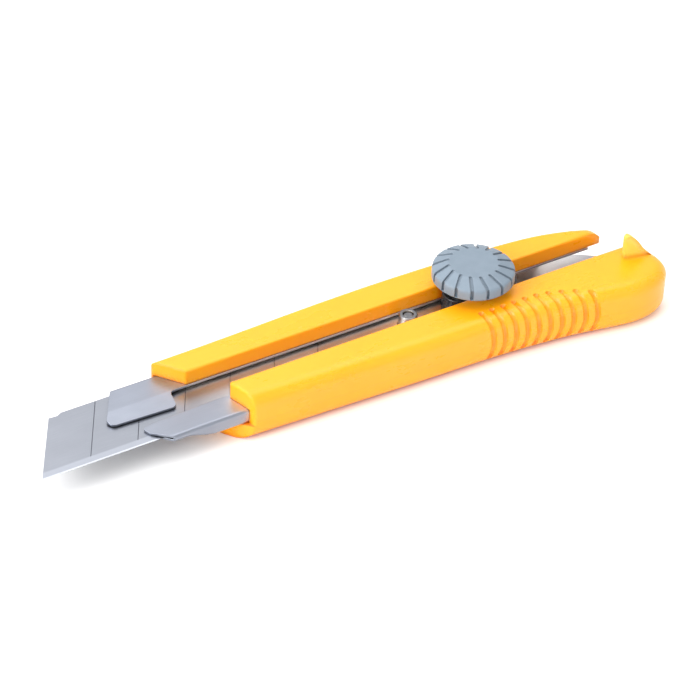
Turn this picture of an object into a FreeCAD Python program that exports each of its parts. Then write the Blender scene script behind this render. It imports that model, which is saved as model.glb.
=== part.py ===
import FreeCAD, Part
import math
import os

# Lock-wheel snap-off knife, millimetres, +Z up, resting on the flat underside of the handle.
# Every shape is drawn in tool coordinates: s runs back from the blade's point, c runs across
# from the cutting edge to the spine, h is the height above the rest face. save() moves the
# finished solid so that the origin is the centre of the tool's outline on the rest face.
V = FreeCAD.Vector
os.makedirs("parts", exist_ok=True)

ORIGIN_S = 79.15
ORIGIN_C = 5.11
BACK = 1.0 / math.tan(math.radians(60.0))   # slant of the snap lines, s per c

# Blade
BLADE_LENGTH = 100.0
BLADE_WIDTH = 18.0
BLADE_LOW = 6.5
BLADE_TOP = 7.0
BEVEL_WIDTH = 1.8
SEGMENT_PITCH = 11.2
SNAP_LINES = 6
PIN_S = 95.6

# Steel channel, folded from one strip
SHEET = 0.5
CH_NEAR = -1.6
CH_FAR = 18.6
CH_LOW = 4.0
CH_TOP = 8.1
HEM_NEAR = -1.7
HEM_LOW = 5.9
NEAR_LIP_TOP = 7.6
LIP_SPLIT = 5.7
TONGUE_BEND = 4.8        # degrees

# Plastic handle
NEAR_ROUND = 3.0         # top edge radius, cutting-edge side
FAR_ROUND = 1.2          # top edge radius, spine side
HANDLE_TOP = 11.8
SLOT_NEAR = 4.4
SLOT_FAR = 12.2
SLOT_MID = (SLOT_NEAR + SLOT_FAR) / 2
GAP = 0.05

# Lock wheel on its bolt
WHEEL_S = 112.8
WHEEL_R = 9.5
WHEEL_LOW = 14.1
WHEEL_TOP = 18.4
SWIRL = 15.0           # lean of each rim groove from the radius
BOLT_R = 2.45
BOLT_HOLE_R = 2.5

# Outer plan curve of the handle at mid height, from the spine side round the tail to the front
OUTLINE = [(30, 18.9), (39, 19.05), (53, 19.4), (74, 20.2), (92, 20.55), (106, 20.4), (120, 19.9),
           (130, 19.25), (136, 18.55), (141, 17.5), (145.7, 16.1), (150.3, 13.9), (153.3, 11.2),
           (155.3, 8), (156.8, 4.5), (157.9, 1), (158.3, -2.5), (157.6, -5.8), (155, -8.5),
           (151, -10), (146.5, -10.3), (141.5, -9.6), (137, -8.7), (131.5, -7.7), (126, -7),
           (118, -6.25), (110, -5.75), (95, -5.3), (80, -4.7), (65, -4.05), (50, -3.4), (30, -3)]


def save(shape, node):
    shape = shape.removeSplitter() if len(shape.Solids) == 1 else shape
    shape.translate(V(-ORIGIN_S, -ORIGIN_C, 0))
    shape.exportStep("parts/%s.step" % node)


def box(s0, s1, c0, c1, h0, h1):
    return Part.makeBox(s1 - s0, c1 - c0, h1 - h0, V(s0, c0, h0))


def cyl(s, c, r, h0, h1):
    return Part.makeCylinder(r, h1 - h0, V(s, c, h0))


def rounded_wire(corners, h):
    """Closed plan wire at height h; each corner is (s, c, corner radius)."""
    pts = [V(s, c, h) for s, c, r in corners]
    edges = []
    starts = []
    ends = []
    for i, (s, c, r) in enumerate(corners):
        p = pts[i]
        to_prev = (pts[i - 1] - p).normalize()
        to_next = (pts[(i + 1) % len(pts)] - p).normalize()
        half = to_prev.getAngle(to_next) / 2
        reach = r / math.tan(half) if r else 0.0
        a = p + to_prev * reach
        b = p + to_next * reach
        starts.append(a)
        ends.append(b)
        if r:
            middle = (to_prev + to_next).normalize()
            mid = p + middle * (r / math.sin(half) - r)
            edges.append(Part.Arc(a, mid, b).toShape())
    for i in range(len(corners)):
        a = ends[i]
        b = starts[(i + 1) % len(corners)]
        if a.distanceToPoint(b) > 1e-6:
            edges.append(Part.makeLine(a, b))
    return Part.Wire(Part.__sortEdges__(edges))


def prism(corners, h0, h1):
    face = Part.Face(rounded_wire(corners, h0))
    return face.extrude(V(0, 0, h1 - h0))


def sharp(points):
    return [(s, c, 0) for s, c in points]


def revolve(points, s, c):
    """Solid of revolution about the vertical through (s, c); points are (radius, height)."""
    pts = [V(s + r, c, h) for r, h in points]
    face = Part.Face(Part.makePolygon(pts + [pts[0]]))
    return face.revolve(V(s, c, 0), V(0, 0, 1), 360)


# ---------------------------------------------------------------- handle

def outline_curve():
    curve = Part.BSplineCurve()
    curve.interpolate([V(s, c, 0) for s, c in OUTLINE])
    return curve.toShape()


def handle_block(top_radius):
    side = outline_curve()
    first = side.Vertexes[0].Point
    last = side.Vertexes[-1].Point
    face = Part.Face(Part.Wire([side, Part.makeLine(last, first)]))
    block = face.extrude(V(0, 0, HANDLE_TOP))
    top = [e for e in block.Edges if e.Length > 100 and e.BoundBox.ZMin > HANDLE_TOP - 0.1]
    block = block.makeFillet(top_radius, top)
    low = [e for e in block.Edges if e.Length > 100 and e.BoundBox.ZMax < 0.1]
    return block.makeFillet(3.3, low)


def near_side_c(s, curve):
    """Where the handle's grip side stands at station s."""
    probe = Part.makeLine(V(s, -30, 0), V(s, 0, 0))
    return curve.distToShape(probe)[1][0][0].y


def grip_groove(index, curve):
    top_s = 108.8 + 2.96 * index
    edge_c = near_side_c(top_s + 1.0, curve)
    start_c = -1.5 if index < 5 else -1.5 - 0.2 * (index - 4) ** 2
    r = NEAR_ROUND
    out = 0.15
    start_c = min(start_c, edge_c + r + 2.5)
    path = [(0.0, start_c, HANDLE_TOP + out)]
    for degrees, shift in ((20, 0.15), (50, 0.35), (80, 0.6)):
        a = math.radians(degrees)
        path.append((shift, edge_c + r - (r + out) * math.sin(a),
                     HANDLE_TOP - r + (r + out) * math.cos(a)))
    for shift, h in ((1.0, 7.2), (1.15, 5.2), (0.8, 3.6)):
        path.append((shift, edge_c - out, h))
    path.append((0.25, edge_c + 0.35, 2.0))
    points = [V(top_s + shift, c, h) for shift, c, h in path]
    spine = Part.BSplineCurve()
    spine.interpolate(points)
    tube_r = 0.73
    start_dir = spine.tangent(spine.FirstParameter)[0]
    ring = Part.Wire(Part.makeCircle(tube_r, points[0], start_dir))
    tube = Part.Wire(spine.toShape()).makePipeShell([ring], True, True)
    ends = [Part.makeSphere(tube_r, points[0]), Part.makeSphere(tube_r, points[-1])]
    return [tube] + ends


def tail_fin():
    """Upright thumb stop beside the tail end of the slot, thin in front and thicker behind."""
    side = [(149.7, 9.5), (149.7, 16.6), (150.0, 17.6), (150.7, 17.75), (152.3, 16.6),
            (154.1, 14.1), (156.2, 11.9), (156.6, 9.5)]
    front_low, front_high, tip_a, tip_b, slope_a, slope_b, foot, back_low = [
        V(s, -3, h) for s, h in side]
    edges = [Part.makeLine(front_low, front_high),
             Part.Arc(front_high, tip_a, tip_b).toShape()]
    slope = Part.BSplineCurve()
    slope.interpolate([tip_b, slope_a, slope_b, foot])
    edges += [slope.toShape(), Part.makeLine(foot, back_low), Part.makeLine(back_low, front_low)]
    blade = Part.Face(Part.Wire(edges)).extrude(V(0, 8, 0))
    wedge = prism([(149.6, 0.3, 0.35), (149.6, 1.3, 0.35), (158, 3.4, 0.5), (158, -1.8, 0.5)], 9, 19)
    return blade.common(wedge)


def soften(body):
    """Small moulded radii on the slot edges and on the near rail's front face."""
    edges = []
    for e in body.Edges:
        b = e.BoundBox
        along_slot = e.Length > 50 and b.ZMin > HANDLE_TOP - 0.01 and b.YLength < 0.01
        on_front = b.XMin > 47 and b.XMax < 50
        top_rim = on_front and b.ZMax > HANDLE_TOP - 0.01 and b.YMax < SLOT_NEAR + 0.01
        low_rim = on_front and abs(b.ZMax - (HANDLE_TOP - NEAR_ROUND)) < 0.05
        shadow = b.XLength < 0.01 and b.YLength < 0.01 and abs(b.YMax + 0.4) < 0.02
        if along_slot or low_rim or (top_rim and not shadow):
            edges.append(e)
    return body.makeFillet(0.4, edges)


def make_handle():
    curve = outline_curve()
    near = handle_block(NEAR_ROUND).common(box(20, 170, -20, SLOT_MID, -1, 20))
    far = handle_block(FAR_ROUND).common(box(20, 170, SLOT_MID, 30, -1, 20))
    body = near.fuse(far)
    # slot for the slider, open at both ends, over the cavity that holds the channel
    body = body.cut(box(20, 170, SLOT_NEAR, SLOT_FAR, CH_LOW, 20))
    body = body.cut(box(20, 170, CH_NEAR - GAP, LIP_SPLIT, CH_LOW - GAP, NEAR_LIP_TOP + GAP))
    body = body.cut(box(20, 170, LIP_SPLIT, CH_FAR + GAP, CH_LOW - GAP, CH_TOP + GAP))
    # front ends of the two rails, then of the floor under the channel
    rails_front = [(20, -8), (50.2, -8), (49.3, -3.6), (48.4, -0.4), (47.1, SLOT_NEAR),
                   (43.8, 8.5), (40.8, SLOT_FAR), (32.9, 23), (20, 23)]
    body = body.cut(prism(sharp(rails_front), CH_LOW - GAP, 20))
    body = soften(body)
    floor_front = [(20, -8, 0), (51, -8, 0), (49.3, -3.6, 1), (46.3, -0.4, 3), (44.6, 2, 3),
                   (36.6, 19.2, 0), (35, 23, 0), (20, 23, 0)]
    body = body.cut(prism(floor_front, -1, CH_LOW))
    # the spine-side rail is rounded down to its free tip
    arc = Part.Arc(V(146.5, 12, HANDLE_TOP), V(150.3, 12, 10.95), V(152.8, 12, 8.1)).toShape()
    corner = [V(152.8, 12, 8.1), V(160, 12, 8.1), V(160, 12, 14), V(146.5, 12, 14),
              V(146.5, 12, HANDLE_TOP)]
    cap = Part.Face(Part.Wire([arc, Part.makePolygon(corner)])).extrude(V(0, 12, 0))
    body = body.cut(cap)
    body = body.fuse(tail_fin())
    cutters = []
    for index in range(10):
        cutters += grip_groove(index, curve)
    body = body.cut(cutters)
    return body


# ---------------------------------------------------------------- channel

def section(s, near, far, low, high, r):
    """Rounded rectangle across the tool at station s."""
    k = r * (1 - math.sqrt(0.5))
    p = [V(s, near + r, low), V(s, far - r, low), V(s, far, low + r), V(s, far, high - r),
         V(s, far - r, high), V(s, near + r, high), V(s, near, high - r), V(s, near, low + r)]
    mids = [V(s, far - k, low + k), V(s, far - k, high - k),
            V(s, near + k, high - k), V(s, near + k, low + k)]
    edges = []
    for i in range(4):
        edges.append(Part.makeLine(p[2 * i], p[2 * i + 1]))
        edges.append(Part.Arc(p[2 * i + 1], mids[i], p[(2 * i + 2) % 8]).toShape())
    return Part.Wire(edges)


def tube_body(inset, top, radius):
    """Outer (inset 0) or inner (inset SHEET) skin of the channel before it is cut open."""
    def at(s, t):
        near = HEM_NEAR + (CH_NEAR - HEM_NEAR) * t
        low = HEM_LOW + (CH_LOW - HEM_LOW) * t
        return section(s, near + inset, CH_FAR - inset, low + inset, top - inset, radius - inset)

    stations = (33, 34.6, 36.2, 37.8, 39.4, 41)
    steps = [(s, (1 - math.cos(math.pi * (s - 33) / 8.0)) / 2) for s in stations]
    hem = Part.Face(at(16, 0)).extrude(V(17, 0, 0))
    ramp = Part.makeLoft([at(s, t) for s, t in steps], True, False)
    main = Part.Face(at(41, 1)).extrude(V(112, 0, 0))
    return hem.fuse([ramp, main])


def make_channel():
    far = tube_body(0, CH_TOP, 0.78).cut(tube_body(SHEET, CH_TOP, 0.78))
    near = tube_body(0, NEAR_LIP_TOP, 0.82).cut(tube_body(SHEET, NEAR_LIP_TOP, 0.82))
    far = far.common(box(10, 170, LIP_SPLIT, 25, 3, 9))
    near = near.common(box(10, 170, -5, LIP_SPLIT, 3, 9))
    channel = near.fuse(far)
    opening = [(160, 4.45, 0), (59, 4.45, 8), (44, 5.15, 8), (29, 4.5, 5), (25.6, 4.0, 0.7), (26.4, 1.8, 1.2),
               (31, -2.0, 0), (31, -4, 0), (8, -4, 0), (8, 24, 0), (25.8, 24, 0),
               (25.4, 18.1, 0.6), (24.7, 17.3, 0.6), (18.9, 7.8, 1.6), (35.9, 7.1, 1.4),
               (36.6, 11.85, 1.2), (39, 11.95, 3), (148.2, 11.95, 0), (148.2, 24, 0), (160, 24, 0)]
    channel = channel.cut(prism(opening, BLADE_TOP + 0.05, 9))
    floor_front = [(31, -4), (31, -2), (27, 3), (24.4, 9), (25.8, 18.3), (25.8, 24), (8, 24), (8, -4)]
    channel = channel.cut(prism(sharp(floor_front), 3, BLADE_TOP + 0.05))
    # the front tongue is bent down a little so that it keeps the blade flat
    tongue = channel.common(box(10, 36.8, LIP_SPLIT + 0.2, 12.04, BLADE_TOP, 9))
    channel = channel.cut(box(10, 36.8, LIP_SPLIT + 0.2, 12.0, BLADE_TOP, 9))
    tongue.rotate(V(0, 12.0, CH_TOP - SHEET / 2), V(1, 0, 0), TONGUE_BEND)
    channel = channel.fuse(tongue)
    # the strip's tail follows the handle's outline and has no side fold there
    tail = Part.BSplineCurve()
    tail.interpolate([V(137.5, 18.75, 3), V(141, 17.25, 3), V(145.2, 15.85, 3), V(147.8, 14.7, 3),
                      V(150.2, 12.9, 3), V(151.6, 10.6, 3), V(152.2, 7, 3), V(152.3, -3, 3)])
    rim = [V(152.3, -3, 3), V(170, -3, 3), V(170, 24, 3), V(137.5, 24, 3), V(137.5, 18.75, 3)]
    waste = Part.Face(Part.Wire([tail.toShape(), Part.makePolygon(rim)])).extrude(V(0, 0, 7))
    return channel.cut(waste)


# ---------------------------------------------------------------- blade

def make_blade():
    edge_h = (BLADE_LOW + BLADE_TOP) / 2
    profile = [V(-2, 0, edge_h), V(-2, BEVEL_WIDTH, BLADE_TOP), V(-2, BLADE_WIDTH, BLADE_TOP),
               V(-2, BLADE_WIDTH, BLADE_LOW), V(-2, BEVEL_WIDTH, BLADE_LOW)]
    blade = Part.Face(Part.makePolygon(profile + [profile[0]])).extrude(V(120, 0, 0))
    plan = [(0, 0), (17.5 * BACK, 17.5), (12.1, 17.35), (13.3, 18), (BLADE_LENGTH + 18 * BACK, 18),
            (BLADE_LENGTH, 0)]
    blade = blade.common(prism(sharp(plan), 6, 8))
    score = Part.Face(Part.makePolygon([V(-0.1, 0, BLADE_TOP + 0.02), V(0.1, 0, BLADE_TOP + 0.02),
                                        V(0, 0, BLADE_TOP - 0.13), V(-0.1, 0, BLADE_TOP + 0.02)]))
    for k in range(1, SNAP_LINES + 1):
        groove = score.extrude(V(17 * BACK, 17, 0))
        groove.translate(V(k * SEGMENT_PITCH + BEVEL_WIDTH * BACK, BEVEL_WIDTH, 0))
        blade = blade.cut(groove)
    return blade.cut(cyl(PIN_S, SLOT_MID, 2.4, 6, 8))


# ---------------------------------------------------------------- slider and its fittings

def make_slider_plate():
    plate = prism([(88, 0, 1.5), (88, 17.6, 1.5), (113.8, 17.6, 2), (118, 14.5, 2), (123.4, 13, 1.5),
                   (123.4, 0, 1.5)], 4.9, 6.35)
    shoulders = [prism([(112, 0, 1), (112, 3.6, 1), (123.4, 3.6, 1), (123.4, 0, 1.5)], 6.3, 7.0),
                 prism([(112, 13, 0.8), (112, 17.6, 0.8), (113.8, 17.6, 2), (118, 14.5, 0.8),
                        (118, 13, 0.6)], 6.3, 7.5)]
    plate = plate.fuse(shoulders)
    plate = plate.cut(box(WHEEL_S - 4.4, WHEEL_S + 4.4, SLOT_MID - 4.4, SLOT_MID + 4.4, 4, 5.8))
    plate = plate.cut(cyl(WHEEL_S, SLOT_MID, BOLT_HOLE_R, 4, 7))
    plate = plate.cut(cyl(PIN_S, SLOT_MID, 1.25, 4, 7))
    return plate.cut(cyl(PIN_S, SLOT_MID, 2.1, 4, 5.45))


def make_guide_block():
    block = prism([(105.3, 4.7, 3.55), (105.3, 11.9, 3.55), (124.4, 11.9, 3.55), (124.4, 4.7, 3.55)],
                  6.4, 11.5)
    block = block.makeFillet(0.4, [e for e in block.Edges if e.BoundBox.ZMin > 11.4])
    heel = prism(sharp([(95, 2), (100.7 + 2 * BACK, 2), (100.7 + 15 * BACK, 15), (95, 15)]),
                 6, BLADE_TOP + 0.1)
    block = block.cut(heel)
    return block.cut(cyl(WHEEL_S, SLOT_MID, BOLT_HOLE_R, 6, 12))


def make_pin_sleeve():
    post = revolve([(1.25, 6.4), (2.15, 6.4), (2.15, 9.85), (1.9, 10.15), (1.25, 10.15)], PIN_S, SLOT_MID)
    return post


def make_pin_rivet():
    return revolve([(0, 5.0), (2.0, 5.0), (2.0, 5.4), (1.2, 5.4), (1.2, 9.55), (0.85, 9.85), (0, 9.85)],
                   PIN_S, SLOT_MID)


def make_clamp_bolt():
    head = box(WHEEL_S - 4.2, WHEEL_S + 4.2, SLOT_MID - 4.2, SLOT_MID + 4.2, 4.95, 5.75)
    profile = [(0, 5.5), (BOLT_R, 5.5), (BOLT_R, 12.8)]
    h = 12.8
    while h < 16.4:
        profile += [(BOLT_R - 0.3, h + 0.2), (BOLT_R - 0.3, h + 0.3), (BOLT_R, h + 0.5), (BOLT_R, h + 0.8)]
        h += 0.8
    profile += [(BOLT_R - 0.5, h + 0.4), (0, h + 0.4)]
    return head.fuse(revolve(profile, WHEEL_S, SLOT_MID))


def make_flat_washer():
    return cyl(WHEEL_S, SLOT_MID, 5.6, 11.85, 12.4).cut(cyl(WHEEL_S, SLOT_MID, 2.75, 11, 13))


def make_spring_washer():
    return revolve([(2.8, 12.65), (5.2, 12.45), (5.2, 12.75), (2.8, 12.95)], WHEEL_S, SLOT_MID)


def hexagon(flats, h0, h1):
    r = flats / math.sqrt(3)
    corners = []
    for k in range(6):
        a = math.radians(60 * k + 30)
        corners.append((WHEEL_S + r * math.cos(a), SLOT_MID + r * math.sin(a)))
    return prism(sharp(corners), h0, h1)


def make_wheel_nut():
    return hexagon(8.0, 13.1, 16.7).cut(cyl(WHEEL_S, SLOT_MID, BOLT_HOLE_R, 13, 17))


def make_lock_wheel():
    profile = [(0, 13.0), (5.7, 13.0), (5.7, WHEEL_LOW), (8.9, WHEEL_LOW), (WHEEL_R, WHEEL_LOW + 0.55),
               (WHEEL_R, 16.3), (9.38, 16.85), (9.05, 17.15), (6.35, WHEEL_TOP - 0.15),
               (5.9, WHEEL_TOP), (0, WHEEL_TOP)]
    wheel = revolve(profile, WHEEL_S, SLOT_MID)
    depth = 0.75
    shell = revolve([(5.3, 20), (5.3, WHEEL_TOP - 0.25), (WHEEL_R - depth, 16.75),
                     (WHEEL_R - depth, WHEEL_LOW + 0.55), (12, WHEEL_LOW + 0.55), (12, 20)],
                    WHEEL_S, SLOT_MID)
    grooves = []
    for k in range(16):
        bar = box(0, 8, -0.38, 0.38, 12, 20).fuse(cyl(0, 0, 0.38, 12, 20))
        bar.rotate(V(0, 0, 0), V(0, 0, 1), SWIRL)
        bar.translate(V(5.9, 0, 0))
        bar.rotate(V(0, 0, 0), V(0, 0, 1), 22.5 * k + 4.0)
        bar.translate(V(WHEEL_S, SLOT_MID, 0))
        grooves.append(bar.common(shell))
    wheel = wheel.cut(grooves)
    wheel = wheel.cut(hexagon(8.1, 12, 16.75))
    return wheel.cut(cyl(WHEEL_S, SLOT_MID, 2.7, 16, 17.5))


save(make_handle(), "handle_body")
save(make_channel(), "blade_channel")
save(make_blade(), "snap_blade")
save(make_slider_plate(), "slider_plate")
save(make_guide_block(), "guide_block")
save(make_pin_sleeve(), "pin_sleeve")
save(make_pin_rivet(), "pin_rivet")
save(make_clamp_bolt(), "clamp_bolt")
save(make_flat_washer(), "flat_washer")
save(make_spring_washer(), "spring_washer")
save(make_wheel_nut(), "wheel_nut")
save(make_lock_wheel(), "lock_wheel")
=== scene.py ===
import bpy
from mathutils import Matrix, Vector


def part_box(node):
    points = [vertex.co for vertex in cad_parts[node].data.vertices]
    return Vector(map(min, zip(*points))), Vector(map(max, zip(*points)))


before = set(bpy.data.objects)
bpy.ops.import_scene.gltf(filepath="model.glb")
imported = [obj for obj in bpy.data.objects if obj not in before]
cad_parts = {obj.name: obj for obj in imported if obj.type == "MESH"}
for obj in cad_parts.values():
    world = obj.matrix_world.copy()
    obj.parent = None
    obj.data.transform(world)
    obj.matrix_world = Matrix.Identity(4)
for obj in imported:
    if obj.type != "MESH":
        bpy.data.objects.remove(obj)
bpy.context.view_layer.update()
MM = 0.001

# Stretches of the knife over which a finish or its painted light and shade changes, in the frame's
# coordinates.
MOUTH_X = (-42 * MM, -37 * MM)     # where the blade goes in under the channel's tongue
FRONT_X = (-29 * MM, -26 * MM)     # behind the slim front of the handle
GRIP_END_X = (58 * MM, 62 * MM)    # behind the last finger groove
TAIL_X = (60 * MM, 71 * MM)        # where the tail bulges
FIN_Z = (12.1 * MM, 13.2 * MM)     # up the foot of the tail fin
SEAM_Z = 5.1 * MM                  # the parting line round the handle


# ---------------------------------------------------------------- node helpers

def add(tree, kind, inputs=None, **settings):
    """A shader node with its settings, and each input either linked or given a value."""
    node = tree.nodes.new(kind)
    for key, value in settings.items():
        setattr(node, key, value)
    for key, value in (inputs or {}).items():
        if isinstance(value, bpy.types.NodeSocket):
            tree.links.new(value, node.inputs[key])
        else:
            node.inputs[key].default_value = value
    return node


def noise(tree, where, per_mm, detail=3.0, roughness=0.55, seed=0.0):
    """Noise with its own number of cells per millimetre along X, Y and Z."""
    scale = tuple(n / MM for n in per_mm)
    placed = add(tree, "ShaderNodeMapping",
                 {"Vector": where, "Location": (seed, seed, seed), "Scale": scale})
    made = add(tree, "ShaderNodeTexNoise",
               {"Vector": placed.outputs[0], "Scale": 1.0, "Detail": detail, "Roughness": roughness})
    return made.outputs["Fac"]


def remap(tree, value, low, high, out_low, out_high):
    """value between low and high, moved to out_low and out_high and held there beyond them."""
    made = add(tree, "ShaderNodeMapRange",
               {0: value, 1: low, 2: high, 3: out_low, 4: out_high}, clamp=True)
    return made.outputs[0]


def math_node(tree, operation, a, b):
    return add(tree, "ShaderNodeMath", {0: a, 1: b}, operation=operation).outputs[0]


def blend(tree, amount, a, b):
    """Colour a where amount is 0, and b where it is 1."""
    made = add(tree, "ShaderNodeMix", {0: amount, 6: a, 7: b}, data_type="RGBA")
    return made.outputs[2]


def band(tree, value, centre, half, soft):
    """1 within half of centre, falling to 0 over soft."""
    away = math_node(tree, "ABSOLUTE", math_node(tree, "SUBTRACT", value, centre), 0.0)
    return remap(tree, away, half, half + soft, 1.0, 0.0)


def edges(tree, radius, full):
    """1 along convex and concave edges, from how far a rounded normal leaves the true one."""
    rounded = add(tree, "ShaderNodeBevel", {"Radius": radius}, samples=4)
    flat = add(tree, "ShaderNodeNewGeometry")
    alike = add(tree, "ShaderNodeVectorMath", {0: rounded.outputs[0], 1: flat.outputs["Normal"]},
                operation="DOT_PRODUCT")
    return remap(tree, alike.outputs["Value"], 0.995, full, 0.0, 1.0), rounded.outputs[0]


def cavity(tree, reach, most, clear=0.95):
    """0 on open faces, rising to most inside grooves and corners."""
    open_sky = add(tree, "ShaderNodeAmbientOcclusion", {"Distance": reach}, samples=6)
    return remap(tree, open_sky.outputs["AO"], 0.35, clear, most, 0.0)


def recess(tree, where):
    """1 deep in the handle, where its walls light the steel, and 0 in the open and in fine scores."""
    along = add(tree, "ShaderNodeSeparateXYZ", {0: where}).outputs["X"]
    inside = remap(tree, along, *MOUTH_X, 0.0, 1.0)
    deep = math_node(tree, "MULTIPLY", cavity(tree, 7 * MM, 1.0, 0.85), inside)
    scored = cavity(tree, 0.3 * MM, 1.0)
    return math_node(tree, "MULTIPLY", deep, math_node(tree, "SUBTRACT", 1.0, scored))


def surface(name):
    """A material with an empty Principled shader, and the coordinates of its object."""
    made = bpy.data.materials.new(name)
    made.use_nodes = True
    tree = made.node_tree
    tree.nodes.clear()
    shader = add(tree, "ShaderNodeBsdfPrincipled")
    out = add(tree, "ShaderNodeOutputMaterial")
    tree.links.new(shader.outputs[0], out.inputs[0])
    where = add(tree, "ShaderNodeTexCoord").outputs["Object"]
    return made, tree, shader, where


def rgb(*c):
    return (*c, 1.0)


def two_tone(tree, value, low_colour, high_colour, spread=0.15):
    """One colour where a noise is low and the other where it is high, blended across its middle."""
    amount = remap(tree, value, 0.5 - spread, 0.5 + spread, 0.0, 1.0)
    return blend(tree, amount, rgb(*low_colour), rgb(*high_colour))


def feed(tree, shader, socket, value):
    tree.links.new(value, shader.inputs[socket])


def bumped(tree, height, strength, distance, normal):
    made = add(tree, "ShaderNodeBump", {"Strength": strength, "Distance": distance, "Height": height})
    if normal is not None:
        tree.links.new(normal, made.inputs["Normal"])
    return made.outputs[0]


# ---------------------------------------------------------------- materials

def handle_plastic():
    """Glossy moulded plastic: faint flow marks, a fine grain, a parting line, edges painted lighter
    in patches as a painted highlight, painted shade in the grip's grooves and painted light on the
    tail fin.
    """
    made, tree, shader, where = surface("handle_plastic")
    flow = noise(tree, where, (0.035, 0.11, 0.11), 2.0)
    colour = two_tone(tree, flow, (0.975, 0.375, 0.002), (0.98, 0.39, 0.003))
    place = add(tree, "ShaderNodeSeparateXYZ", {0: where})
    # The edge radius grows at the tail and at the slim front: it rounds the shading there and widens
    # the painted highlight on the edges.
    tail_radius = remap(tree, place.outputs["X"], *TAIL_X, 0.3 * MM, 2.2 * MM)
    front_extra = remap(tree, place.outputs["X"], *FRONT_X, 0.7 * MM, 0.0)
    rub_and_sheen, rounded = edges(tree, math_node(tree, "ADD", tail_radius, front_extra), 0.86)
    patch = remap(tree, noise(tree, where, (0.6, 0.6, 0.6), 4.0), 0.42, 0.62, 0.05, 0.3)
    # Painted highlight: the edges are painted lighter in patches, standing in for light caught on
    # their rounding.
    colour = blend(tree, math_node(tree, "MULTIPLY", rub_and_sheen, patch), colour, rgb(1.0, 0.45, 0.02))
    seam = band(tree, place.outputs["Z"], SEAM_Z, 0.05 * MM, 0.07 * MM)
    colour = blend(tree, math_node(tree, "MULTIPLY", seam, 0.3), colour, rgb(0.85, 0.28, 0.0))
    dust = remap(tree, noise(tree, where, (2.2, 2.2, 2.2), 2.0, seed=3.0), 0.72, 0.8, 0.0, 0.35)
    colour = blend(tree, dust, colour, rgb(0.98, 0.43, 0.02))
    # Painted shade: the finger grooves and creases of the grip are darkened to a deep orange where an
    # occlusion mask finds them.
    grip_only = remap(tree, place.outputs["X"], *GRIP_END_X, 1.0, 0.0)
    grooves = math_node(tree, "MULTIPLY", cavity(tree, 1.5 * MM, 0.95), grip_only)
    colour = blend(tree, grooves, colour, rgb(0.86, 0.19, 0.0))
    # Painted light: the tail fin is painted paler towards its top.
    fin = remap(tree, place.outputs["Z"], *FIN_Z, 0.0, 0.9)
    colour = blend(tree, fin, colour, rgb(0.98, 0.6, 0.1))
    feed(tree, shader, "Base Color", colour)
    smear = noise(tree, where, (0.08, 0.2, 0.2), 5.0, 0.6, 7.0)
    feed(tree, shader, "Roughness", remap(tree, smear, 0.3, 0.7, 0.24, 0.36))
    grain = noise(tree, where, (7.0, 7.0, 7.0), 2.0)
    normal = bumped(tree, grain, 0.06, 0.02 * MM, rounded)
    normal = bumped(tree, noise(tree, where, (0.06, 0.1, 0.1), 1.0, seed=9.0), 0.05, 0.5 * MM, normal)
    normal = bumped(tree, seam, 0.35, 0.05 * MM, normal)
    feed(tree, shader, "Normal", normal)
    shader.inputs["IOR"].default_value = 1.5
    shader.inputs["Subsurface Weight"].default_value = 0.3
    shader.inputs["Subsurface Radius"].default_value = (1.0, 0.35, 0.04)
    shader.inputs["Subsurface Scale"].default_value = 0.7 * MM
    return made


def wheel_plastic():
    """Satin grey moulded plastic with lighter rubbed ribs."""
    made, tree, shader, where = surface("wheel_plastic")
    mottle = noise(tree, where, (0.5, 0.5, 0.5), 4.0)
    colour = two_tone(tree, mottle, (0.165, 0.212, 0.262), (0.18, 0.228, 0.28))
    rub_and_sheen, rounded = edges(tree, 0.3 * MM, 0.84)
    patch = remap(tree, noise(tree, where, (1.4, 1.4, 1.4), 3.0, seed=2.0), 0.4, 0.65, 0.2, 0.8)
    colour = blend(tree, math_node(tree, "MULTIPLY", rub_and_sheen, patch), colour, rgb(0.27, 0.32, 0.375))
    feed(tree, shader, "Base Color", colour)
    feed(tree, shader, "Roughness", remap(tree, mottle, 0.3, 0.7, 0.42, 0.55))
    grain = noise(tree, where, (9.0, 9.0, 9.0), 3.0)
    feed(tree, shader, "Normal", bumped(tree, grain, 0.16, 0.03 * MM, rounded))
    return made


def steel(name, base, pale, streak, rough, edge_radius, worn):
    """Satin steel whose streaks run the long way of the streak cells, with brighter worn edges."""
    made, tree, shader, where = surface(name)
    lines = noise(tree, where, streak, 4.0, 0.65)
    cloud = noise(tree, where, (0.05, 0.09, 0.09), 3.0, seed=5.0)
    colour = two_tone(tree, lines, base, pale, 0.2)
    dull = rgb(*[0.8 * c for c in base])
    colour = blend(tree, remap(tree, cloud, 0.4, 0.75, 0.0, 0.35), colour, dull)
    rub_and_sheen, rounded = edges(tree, edge_radius, 0.84)
    bright = rgb(*[min(1.6 * c, 0.9) for c in pale])
    colour = blend(tree, math_node(tree, "MULTIPLY", rub_and_sheen, worn), colour, bright)
    lit_by_walls = rgb(*[min(k * c, 0.95) for k, c in zip((2.7, 2.4, 2.0), pale)])
    colour = blend(tree, recess(tree, where), colour, lit_by_walls)
    feed(tree, shader, "Base Color", colour)
    grime = noise(tree, where, (0.12, 0.2, 0.2), 5.0, 0.6, 11.0)
    uneven = math_node(tree, "ADD", remap(tree, lines, 0.3, 0.7, -0.05, 0.05),
                       remap(tree, grime, 0.35, 0.65, rough - 0.04, rough + 0.06))
    feed(tree, shader, "Roughness", uneven)
    feed(tree, shader, "Normal", bumped(tree, lines, 0.12, 0.01 * MM, rounded))
    shader.inputs["Metallic"].default_value = 1.0
    return made


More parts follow.
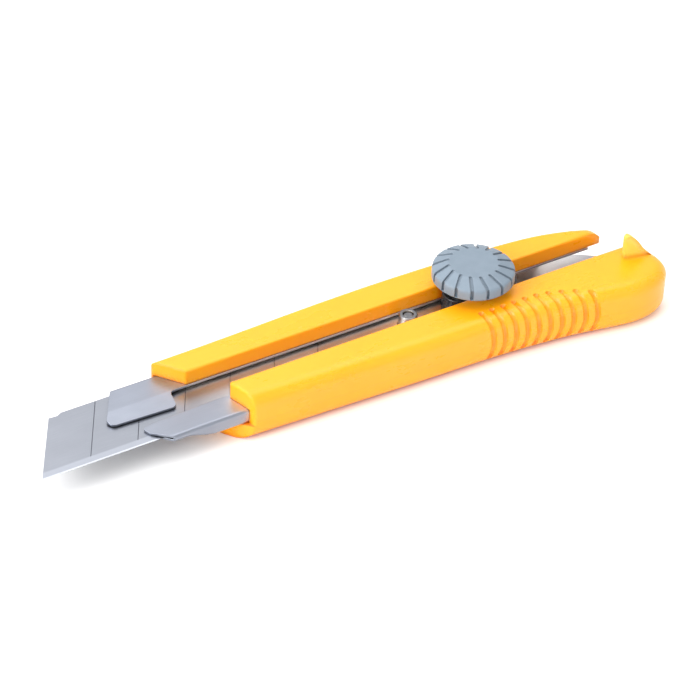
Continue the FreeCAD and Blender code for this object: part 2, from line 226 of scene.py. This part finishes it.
def blade_steel():
    """Carbon steel blade: fine lengthwise finish on the flats, cross-ground bevel along the edge."""
    made, tree, shader, where = surface("blade_steel")
    place = add(tree, "ShaderNodeSeparateXYZ", {0: where})
    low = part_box("snap_blade")[0]
    bevel = remap(tree, place.outputs["Y"], low.y + 1.7 * MM, low.y + 1.82 * MM, 1.0, 0.0)
    along = noise(tree, where, (0.12, 5.0, 5.0), 4.0, 0.65)
    across = noise(tree, where, (9.0, 0.5, 3.0), 4.0, 0.6, 4.0)
    lines = blend(tree, bevel, along, across)
    colour = two_tone(tree, lines, (0.245, 0.258, 0.293), (0.272, 0.286, 0.322), 0.2)
    colour = blend(tree, math_node(tree, "MULTIPLY", bevel, 0.7), colour, rgb(0.29, 0.305, 0.345))
    honed = remap(tree, place.outputs["Y"], low.y + 0.35 * MM, low.y + 0.4 * MM, 1.0, 0.0)
    colour = blend(tree, math_node(tree, "MULTIPLY", honed, 0.8), colour, rgb(0.5, 0.52, 0.56))
    # Painted reflection: under the channel and in the slot the blade is painted nearly white,
    # standing in for the light the handle's walls throw on it.
    colour = blend(tree, recess(tree, where), colour, rgb(1.0, 0.95, 0.9))
    spots = remap(tree, noise(tree, where, (0.35, 0.5, 0.5), 5.0, 0.6, 8.0), 0.66, 0.78, 0.0, 0.3)
    colour = blend(tree, spots, colour, rgb(0.22, 0.23, 0.26))
    feed(tree, shader, "Base Color", colour)
    grime = noise(tree, where, (0.1, 0.2, 0.2), 5.0, 0.6, 11.0)
    feed(tree, shader, "Roughness", math_node(tree, "ADD", remap(tree, grime, 0.35, 0.65, 0.3, 0.38),
                                              remap(tree, lines, 0.3, 0.7, -0.04, 0.05)))
    feed(tree, shader, "Normal", bumped(tree, lines, 0.12, 0.01 * MM, None))
    shader.inputs["Metallic"].default_value = 1.0
    return made


def black_oxide():
    """Blackened steel block, oiled, rubbed bright along its edges."""
    made, tree, shader, where = surface("black_oxide")
    mottle = noise(tree, where, (0.9, 0.9, 0.9), 5.0)
    colour = two_tone(tree, mottle, (0.02, 0.021, 0.025), (0.045, 0.045, 0.05))
    rub_and_sheen, rounded = edges(tree, 0.25 * MM, 0.84)
    colour = blend(tree, math_node(tree, "MULTIPLY", rub_and_sheen, 0.35), colour, rgb(0.3, 0.3, 0.31))
    feed(tree, shader, "Base Color", colour)
    feed(tree, shader, "Roughness", remap(tree, mottle, 0.3, 0.7, 0.2, 0.34))
    feed(tree, shader, "Normal", bumped(tree, mottle, 0.08, 0.03 * MM, rounded))
    shader.inputs["Metallic"].default_value = 0.6
    return made


def floor_paper():
    """Matt white table."""
    made, tree, shader, where = surface("floor_paper")
    grain = noise(tree, where, (0.8, 0.8, 0.8), 3.0)
    feed(tree, shader, "Base Color", blend(tree, grain, rgb(0.9, 0.9, 0.9), rgb(0.92, 0.92, 0.92)))
    shader.inputs["Roughness"].default_value = 0.9
    shader.inputs["Specular IOR Level"].default_value = 0.1
    return made


rolled = (0.15, 6.0, 6.0)      # streak cells per millimetre: long along the sheet
turned = (5.0, 5.0, 0.4)       # and up the axis of a turned piece
finishes = {
    "handle_body": handle_plastic(),
    "lock_wheel": wheel_plastic(),
    "guide_block": black_oxide(),
    "snap_blade": blade_steel(),
    "blade_channel": steel("channel_steel", (0.27, 0.29, 0.34), (0.3, 0.32, 0.375),
                           rolled, 0.4, 0.2 * MM, 0.5),
    "slider_plate": steel("slider_steel", (0.3, 0.32, 0.35), (0.34, 0.36, 0.4),
                          rolled, 0.33, 0.2 * MM, 0.5),
    "pin_sleeve": steel("pin_steel", (0.16, 0.165, 0.18), (0.2, 0.205, 0.22),
                        turned, 0.34, 0.2 * MM, 0.5),
    "pin_rivet": steel("rivet_steel", (0.15, 0.155, 0.17), (0.19, 0.195, 0.21),
                       turned, 0.32, 0.15 * MM, 0.5),
    "clamp_bolt": steel("bolt_steel", (0.52, 0.53, 0.55), (0.62, 0.63, 0.65),
                        turned, 0.3, 0.15 * MM, 0.5),
    "flat_washer": steel("washer_steel", (0.5, 0.52, 0.54), (0.62, 0.64, 0.66),
                         turned, 0.3, 0.12 * MM, 0.6),
    "spring_washer": steel("spring_steel", (0.4, 0.41, 0.43), (0.5, 0.51, 0.53),
                           turned, 0.34, 0.12 * MM, 0.6),
    "wheel_nut": steel("nut_brass", (0.66, 0.47, 0.19), (0.78, 0.58, 0.27),
                       turned, 0.32, 0.2 * MM, 0.3),
}
for node, finish in finishes.items():
    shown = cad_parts[node]
    shown.data.materials.clear()
    shown.data.materials.append(finish)
    for face in shown.data.polygons:
        face.material_index = 0


# ---------------------------------------------------------------- stage

FLOOR_HALF = 3.0
corners = [(-1, -1), (1, -1), (1, 1), (-1, 1)]
floor_mesh = bpy.data.meshes.new("floor")
floor_mesh.from_pydata([(x * FLOOR_HALF, y * FLOOR_HALF, 0) for x, y in corners], [], [(0, 1, 2, 3)])
floor = bpy.data.objects.new("floor", floor_mesh)
floor.data.materials.append(floor_paper())
bpy.context.scene.collection.objects.link(floor)


def soft_light(name, place, size, power):
    """White area light at place, facing the object."""
    data = bpy.data.lights.new(name, "AREA")
    data.shape = "RECTANGLE"
    data.size, data.size_y = size
    data.energy = power
    lamp = bpy.data.objects.new(name, data)
    lamp.location = place
    lamp.rotation_mode = "QUATERNION"
    lamp.rotation_quaternion = Vector(place).to_track_quat("Z", "Y")
    bpy.context.scene.collection.objects.link(lamp)


soft_light("overhead", (-0.1, 0.25, 0.9), (1.4, 1.2), 9.0)
soft_light("left", (-0.9, -0.12, 0.4), (0.5, 0.5), 8.0)
soft_light("front_right", (0.5, -0.9, 0.5), (0.7, 0.5), 0.4)

world = bpy.data.worlds.new("studio")
world.use_nodes = True
sky = world.node_tree.nodes["Background"]
sky.inputs["Color"].default_value = (1, 1, 1, 1)
sky.inputs["Strength"].default_value = 0.95
bpy.context.scene.world = world
bpy.context.scene.view_settings.view_transform = "Standard"


# ---------------------------------------------------------------- camera

camera_data = bpy.data.cameras.new("camera")
camera_data.sensor_width = 36.0
camera_data.lens = 136.86
camera_data.clip_start = 0.01
camera_data.clip_end = 20.0
camera = bpy.data.objects.new("camera", camera_data)
bpy.context.scene.collection.objects.link(camera)
right = Vector((0.85192, -0.52258, 0.03382))
back = -Vector((0.43248, 0.66567, -0.60815))
turn = Matrix((right, back.cross(right), back)).transposed()
eye = Vector((-0.256277, -0.393185, 0.367613))
camera.matrix_world = Matrix.Translation(eye) @ turn.to_4x4()
bpy.context.scene.camera = camera
